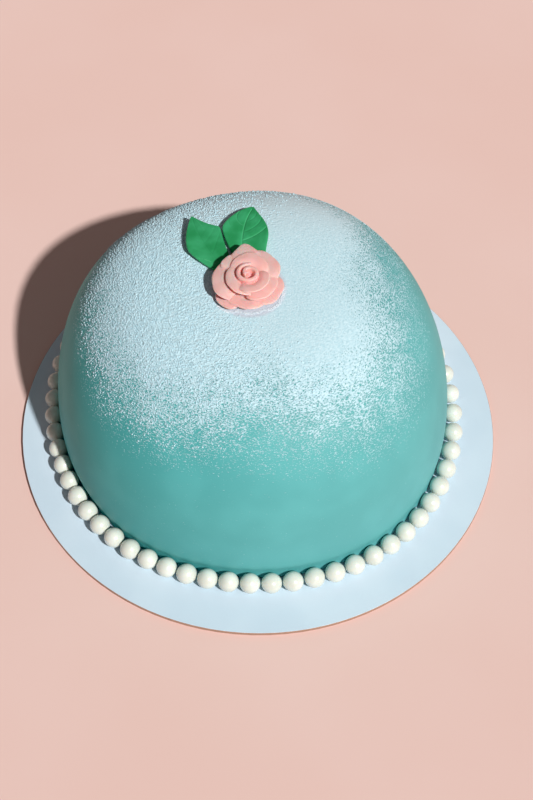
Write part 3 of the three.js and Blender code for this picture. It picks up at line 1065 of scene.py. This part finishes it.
def thicken(sheet, thickness, **thinner):
    shape_with(sheet, "SUBSURF", levels=1, render_levels=1)
    shape_with(sheet, "SOLIDIFY", thickness=thickness, offset=0, **thinner)
    shape_with(sheet, "SUBSURF", levels=1, render_levels=1)


def make_rose():
    parts = [make_heart(), make_bud()] + [make_petal(**petal) for petal in PETALS]
    thicken(parts[1], BUD_WALL)
    for petal in parts[2:]:
        thicken(petal, PETAL_THICKNESS, vertex_group="thick", thickness_vertex_group=PETAL_RIM_THICKNESS)
    start_clean()
    for part in parts:
        part.select_set(True)
    bpy.context.view_layer.objects.active = parts[0]
    bpy.ops.object.join()
    rose = bpy.context.object
    shape_with(rose, "REMESH", mode="VOXEL", voxel_size=ROSE_VOXEL)
    shape_with(rose, "SMOOTH", factor=0.5, iterations=3)
    return rose


def rose_paste():
    """Painted shade, deep red, where the petals meet; pale along their thin rims, partly painted highlight.
    """
    material, shader = new_finish("rose_marzipan", 0.5, 0.4)
    shader.inputs["Subsurface Weight"].default_value = 0.75
    shader.inputs["Subsurface Radius"].default_value = (1.0, 0.3, 0.2)
    shader.inputs["Subsurface Scale"].default_value = 3.0 * MM
    bend = add_node(material, "ShaderNodeNewGeometry").outputs["Pointiness"]
    plain = blend_colours(material, levels(material, speckle(material, 6), 0.35, 0.65), colour(240, 184, 179),
                          colour(243, 192, 187))
    # Painted shade: the paste turns deep red in the creases where the petals meet.
    painted_crease_shade = blend_colours(material, levels(material, bend, 0.37, 0.5), colour(228, 88, 76), plain)
    # Paler rims: partly the thinner paste, partly painted highlight.
    tint = blend_colours(material, levels(material, bend, 0.53, 0.62), painted_crease_shade, colour(250, 212, 207))
    material.node_tree.links.new(tint, shader.inputs["Base Color"])
    relief(material, shader, speckle(material, 0.7, 3), 0.05)
    return material


rose = settle(make_rose(), "marzipan_rose", rose_paste())
smooth_faces(rose)
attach(rose, "root")
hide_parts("rose")
print("rose:", triangles(rose), "triangles")

# %% [markdown]
# Setting the rose down pushed the sugar aside, into a low crumbly bank at its front. The bank is
# the same powder as before, scattered as coarser crumbs on a narrow strip that follows the rose's
# own outline and lies on the cover.

# %% Bank up the sugar
BANK_STEP = 3
BANK_DIRECTIONS = range(198, 369, BANK_STEP)
BANK_WIDENING = 1.09
BANK_INSET = 0.95
BANK_SHARE = 0.5
ABOVE_THE_CAKE = UP * 130 * MM


def rose_outline():
    """How far the rose reaches from its middle, in mm, in every third degree."""
    reaches = {}
    for vertex in rose.data.vertices:
        spot = vertex.co - ROSE_FOOT
        direction = round(math.degrees(math.atan2(spot.y, spot.x)) / BANK_STEP) * BANK_STEP % 360
        reaches[direction] = max(reaches.get(direction, 0), spot.xy.length / MM)
    return reaches


def lay_down(sheet):
    """Projects a flat sheet straight down onto the cover."""
    shape_with(
        sheet, "SHRINKWRAP", target=cover, wrap_method="PROJECT", use_project_z=True,
        use_negative_direction=True, use_positive_direction=False, offset=0,
    )


def make_bank():
    reaches = rose_outline()
    line = [polar(reaches[direction % 360] * BANK_INSET, direction, 0) for direction in BANK_DIRECTIONS]
    strip = one_point(line[0] + ABOVE_THE_CAKE)
    for before, after in zip(line, line[1:]):
        extrude(after - before)
    bpy.ops.mesh.select_all(action="SELECT")
    extrude()
    resize(BANK_WIDENING, BANK_WIDENING, 1, ROSE_FOOT)
    tidy_surface(strip)
    lay_down(strip)
    add_attribute(strip, "sugar_cover", [BANK_SHARE] * len(strip.data.vertices))
    return strip


def heaped_sugar():
    """Sugar so deep that no marzipan shows through."""
    material, shader = new_finish("heaped_sugar", 0.9, 0.2)
    tint = blend_colours(material, levels(material, speckle(material, 1.5), 0.3, 0.7), colour(206, 222, 232),
                         colour(230, 236, 242))
    material.node_tree.links.new(tint, shader.inputs["Base Color"])
    relief(material, shader, speckle(material, 0.25, 2), 0.04)
    return material


strip = make_bank()
scatter(
    "sugar_bank", one_grain("crumb", (0.8, 0.7, 0.5)), heaped_sugar(),
    per_square_mm=8, shares=(0.0, 0.1, 0.9, 1.0), sizes=(0.5, 1.2), seed=51, base=strip,
)
bpy.data.objects.remove(strip)

# %% [markdown]
# ## The leaves
# The leaves are cut from thin green marzipan, and their veins are pressed in with a knife. No leaf
# is alike on both sides of its spine, so each side has its own sizes. A leaf starts as a row of
# points across its foot. The row is extruded along the curved spine, and at each step either half
# is scaled to its own width.

# %% The leaves' sizes
LEAF_THICKNESS = 1.3 * MM
LEAF_CLEARANCE = 0.9 * MM
LEAF_TIP_HALF_WIDTH = 0.3
LEAF_STATIONS = 22
LEAF_COLUMNS = 12
MIDRIB_DEPTH = 0.35
MIDRIB_WIDTH = 0.12
LEFT_LEAF = {
    "foot": (-17.5, 17.5), "tip": (-36.0, 51.8), "bend": 5.0, "midrib": 0.0, "tip_lift": 2.6, "cup": 1.4,
    "left": {"width": 9.5, "broadest_at": 0.45, "narrowing": 0.5, "fullness": 1.5, "taper": 1},
    "right": {"width": 11.5, "broadest_at": 0.65, "narrowing": 0.58, "fullness": 0.82, "taper": 1},
}
RIGHT_LEAF = {
    "foot": (-6.8, 22.0), "tip": (-4.9, 58.8), "bend": 5.2, "midrib": 0.13, "tip_lift": 2.4, "cup": 0.9,
    "left": {"width": 12.2, "broadest_at": 0.58, "narrowing": 0.6, "fullness": 1.4, "taper": 0.6},
    "right": {"width": 11.7, "broadest_at": 0.46, "narrowing": 0.25, "fullness": 2.2, "taper": 1.25},
}


def side_width(side, way):
    """The leaf's width in mm to one side of its spine, way going from 0 at its foot to 1 at its tip."""
    if way < side["broadest_at"]:
        return side["width"] * (1 - side["narrowing"] * (1 - way / side["broadest_at"]) ** 1.15)
    to_tip = min((way - side["broadest_at"]) / (1 - side["broadest_at"]), 1)
    spread = side["width"] - LEAF_TIP_HALF_WIDTH
    return LEAF_TIP_HALF_WIDTH + spread * (1 - to_tip ** side["fullness"]) ** side["taper"]


def leaf_axes(leaf):
    foot = Vector((*leaf["foot"], 0))
    along = Vector((*leaf["tip"], 0)) - foot
    aside = Vector((-along.y, along.x, 0)).normalized()
    return foot, along, aside


def leaf_spine(leaf, way):
    foot, along, aside = leaf_axes(leaf)
    return foot + along * way + aside * leaf["bend"] * 2 * way * (1 - way)


def on_leaf(leaf, place):
    """Where a place lies on a leaf: its way from the foot and how far it is off the spine, in mm."""
    foot, along, aside = leaf_axes(leaf)
    spot = place / MM - foot
    way = min(max(spot.xy.dot(along.xy) / along.length_squared, 0), 1)
    return way, (place / MM - leaf_spine(leaf, way)).xy.dot(aside.xy)


# %% Draw out a leaf
LEAF_STEPS_TO_TIP = 1.35
OFF_THE_SPINE = 0.01 * MM


def selected_points(piece):
    mesh = bmesh.from_edit_mesh(piece.data)
    mesh.verts.index_update()
    return {vertex.index: vertex.co.copy() for vertex in mesh.verts if vertex.select}


def draw_out_leaf(leaf):
    aside = leaf_axes(leaf)[2]
    half = LEAF_COLUMNS // 2
    widths = [side_width(leaf[side], 0) for side in ("right", "left")]
    sheet = one_point((leaf_spine(leaf, 0) - aside * widths[0]) * MM + ABOVE_THE_CAKE)
    for column in range(LEAF_COLUMNS):
        extrude(aside * widths[column // half] / half * MM)
    bpy.ops.mesh.select_all(action="SELECT")
    ways = [1 - (1 - i / LEAF_STATIONS) ** LEAF_STEPS_TO_TIP for i in range(LEAF_STATIONS + 1)]
    for before, after in zip(ways, ways[1:]):
        extrude((leaf_spine(leaf, after) - leaf_spine(leaf, before)) * MM)
        row = selected_points(sheet)
        middle = leaf_spine(leaf, after) * MM + ABOVE_THE_CAKE
        for side, towards in (("left", aside), ("right", -aside)):
            pick(sheet, [n for n, place in row.items() if (place - middle).dot(towards) > OFF_THE_SPINE])
            k = side_width(leaf[side], after) / side_width(leaf[side], before)
            resize(k, k, 1, middle)
        pick(sheet, row)
    tidy_surface(sheet)
    return sheet


# %% [markdown]
# The flat leaf is lowered onto the cake by a Shrinkwrap that projects it straight down. Then its
# points are raised one by one: most at the tip and at the edges, and least along the midrib.

# %% Lay a leaf on the cake


def lay_on_cake(sheet, leaf):
    lay_down(sheet)
    edit(sheet)
    for number in range(len(sheet.data.vertices)):
        way, off = on_leaf(leaf, sheet.data.vertices[number].co)
        side = leaf["left" if off > 0 else "right"]
        across = -off / side_width(side, way)
        groove = MIDRIB_DEPTH * math.exp(-(((across + leaf["midrib"]) / MIDRIB_WIDTH) ** 2)) * (1 - way)
        cup = leaf["cup"] * (off / side["width"]) ** 2 * min(way / 0.6, 1)
        lift = leaf["tip_lift"] * way ** 2 + cup - groove
        pick(sheet, [number])
        bpy.ops.transform.translate(value=UP * (LEAF_CLEARANCE + LEAF_THICKNESS / 2 + lift * MM))
    bpy.ops.object.mode_set(mode="OBJECT")


# %% [markdown]
# Each side vein leaves the midrib at one way along the leaf and reaches the edge at another, further
# on. How deep the knife pressed at a point depends on its distance from the nearest vein. That depth
# is stored as weights in a vertex group, which a Displace modifier multiplies with its own strength.
# The same weights are kept as an attribute for the finish.

# %% Press the veins
VEIN_DEPTH = 0.5 * MM
VEIN_HALF_WIDTH = 0.32
VALLEY_HALF_WIDTH = 2.2
VALLEY_SHARE = 0.35
VEIN_STEPS = 10
VEIN_STOPS_SHORT = 0.92
VEIN_BEND = 1.4
FARTHEST_VEIN = 30
RIGHT_LEAF["veins"] = [
    ("right", 0.37, 0.62, 0.9), ("right", 0.52, 0.80, 0.6), ("right", 0.70, 0.93, 0.4),
    ("left", 0.24, 0.50, 0.45), ("left", 0.45, 0.72, 0.4), ("left", 0.64, 0.90, 0.8),
]
LEFT_LEAF["veins"] = [
    ("right", 0.30, 0.55, 0.25), ("right", 0.50, 0.70, 0.2),
    ("left", 0.30, 0.55, 0.25), ("left", 0.52, 0.76, 0.2),
]
RIGHT_LEAF["midrib_pressed"] = 1.0
LEFT_LEAF["midrib_pressed"] = 0.3


def vein_lines(leaf):
    """Points in mm along every vein, and how firmly it was pressed."""
    aside = leaf_axes(leaf)[2]
    rib = leaf["midrib"] * leaf["left"]["width"]
    ways = [i / VEIN_STEPS / 2 for i in range(2 * VEIN_STEPS)]
    lines = [([leaf_spine(leaf, way) + aside * rib * (1 - way ** 3) for way in ways], leaf["midrib_pressed"])]
    for name, start, end, pressed in leaf["veins"]:
        sign = 1 if name == "left" else -1
        line = []
        for i in range(VEIN_STEPS + 1):
            share = i / VEIN_STEPS
            way = start + (end - start) * share ** VEIN_BEND
            reach = sign * side_width(leaf[name], way) * VEIN_STOPS_SHORT
            line.append(leaf_spine(leaf, way) + aside * (rib + (reach - rib) * share))
        lines.append((line, pressed))
    return lines


def distance_to_line(spot, line):
    nearest = math.inf
    for start, end in zip(line, line[1:]):
        step = end - start
        share = min(max((spot - start).dot(step) / step.length_squared, 0), 1)
        nearest = min(nearest, (spot - start - step * share).length)
    return nearest


def pressed_depth(spot, lines):
    depth = 0
    for line, pressed in lines:
        if (spot - line[len(line) // 2]).length > FARTHEST_VEIN:
            continue
        away = distance_to_line(spot, line)
        groove = math.exp(-((away / VEIN_HALF_WIDTH) ** 2)) * (1 - VALLEY_SHARE)
        depth = max(depth, pressed * (groove + VALLEY_SHARE * math.exp(-((away / VALLEY_HALF_WIDTH) ** 2))))
    return depth


def press_veins(piece, leaf):
    lines = vein_lines(leaf)
    depths = []
    for vertex in piece.data.vertices:
        upper = vertex.normal.z > 0.5
        depths.append(pressed_depth(Vector((vertex.co.x, vertex.co.y, 0)) / MM, lines) if upper else 0)
    group = piece.vertex_groups.new(name="veins")
    for number, depth in enumerate(depths):
        if depth > 0.01:
            group.add([number], depth, "REPLACE")
    shape_with(piece, "DISPLACE", vertex_group="veins", direction="Z", mid_level=0, strength=-VEIN_DEPTH)
    add_attribute(piece, "vein_depth", depths)


# %% [markdown]
# A Solidify gives the sheet its thickness, and a Subdivision Surface rounds its edges and makes it
# fine enough to take the veins.

# %% Make both leaves


def make_leaf(leaf):
    sheet = draw_out_leaf(leaf)
    lay_on_cake(sheet, leaf)
    shape_with(sheet, "SOLIDIFY", thickness=LEAF_THICKNESS, offset=0, edge_crease_rim=0.35)
    shape_with(sheet, "SUBSURF", levels=3, render_levels=3)
    press_veins(sheet, leaf)
    return sheet


def leaf_paste():
    material, shader = new_finish("leaf_marzipan", 0.38, 0.45)
    pressed = add_node(material, "ShaderNodeAttribute", attribute_name="vein_depth").outputs["Fac"]
    green = blend_colours(material, levels(material, speckle(material, 12), 0.35, 0.65), colour(44, 146, 88),
                          colour(62, 168, 112))
    bend = add_node(material, "ShaderNodeNewGeometry").outputs["Pointiness"]
    # Painted highlight: the rounded cut edges are lighter green.
    painted_edge_highlight = blend_colours(material, levels(material, bend, 0.54, 0.66), green, colour(84, 184, 128))
    # Painted highlight: the pressed veins are lighter green.
    tint = blend_colours(material, levels(material, pressed, 0.45, 1.0), painted_edge_highlight, colour(76, 178, 122))
    material.node_tree.links.new(tint, shader.inputs["Base Color"])
    relief(material, shader, speckle(material, 1.6, 3), 0.14)
    return material


green = leaf_paste()
for name, node, leaf in (
    ("leaf_left_marzipan", "leaf_left", LEFT_LEAF), ("leaf_right_marzipan", "leaf_right", RIGHT_LEAF),
):
    piece = settle(make_leaf(leaf), name, green)
    smooth_faces(piece)
    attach(piece, "root")
    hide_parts(node)
    print(name, triangles(piece), "triangles")
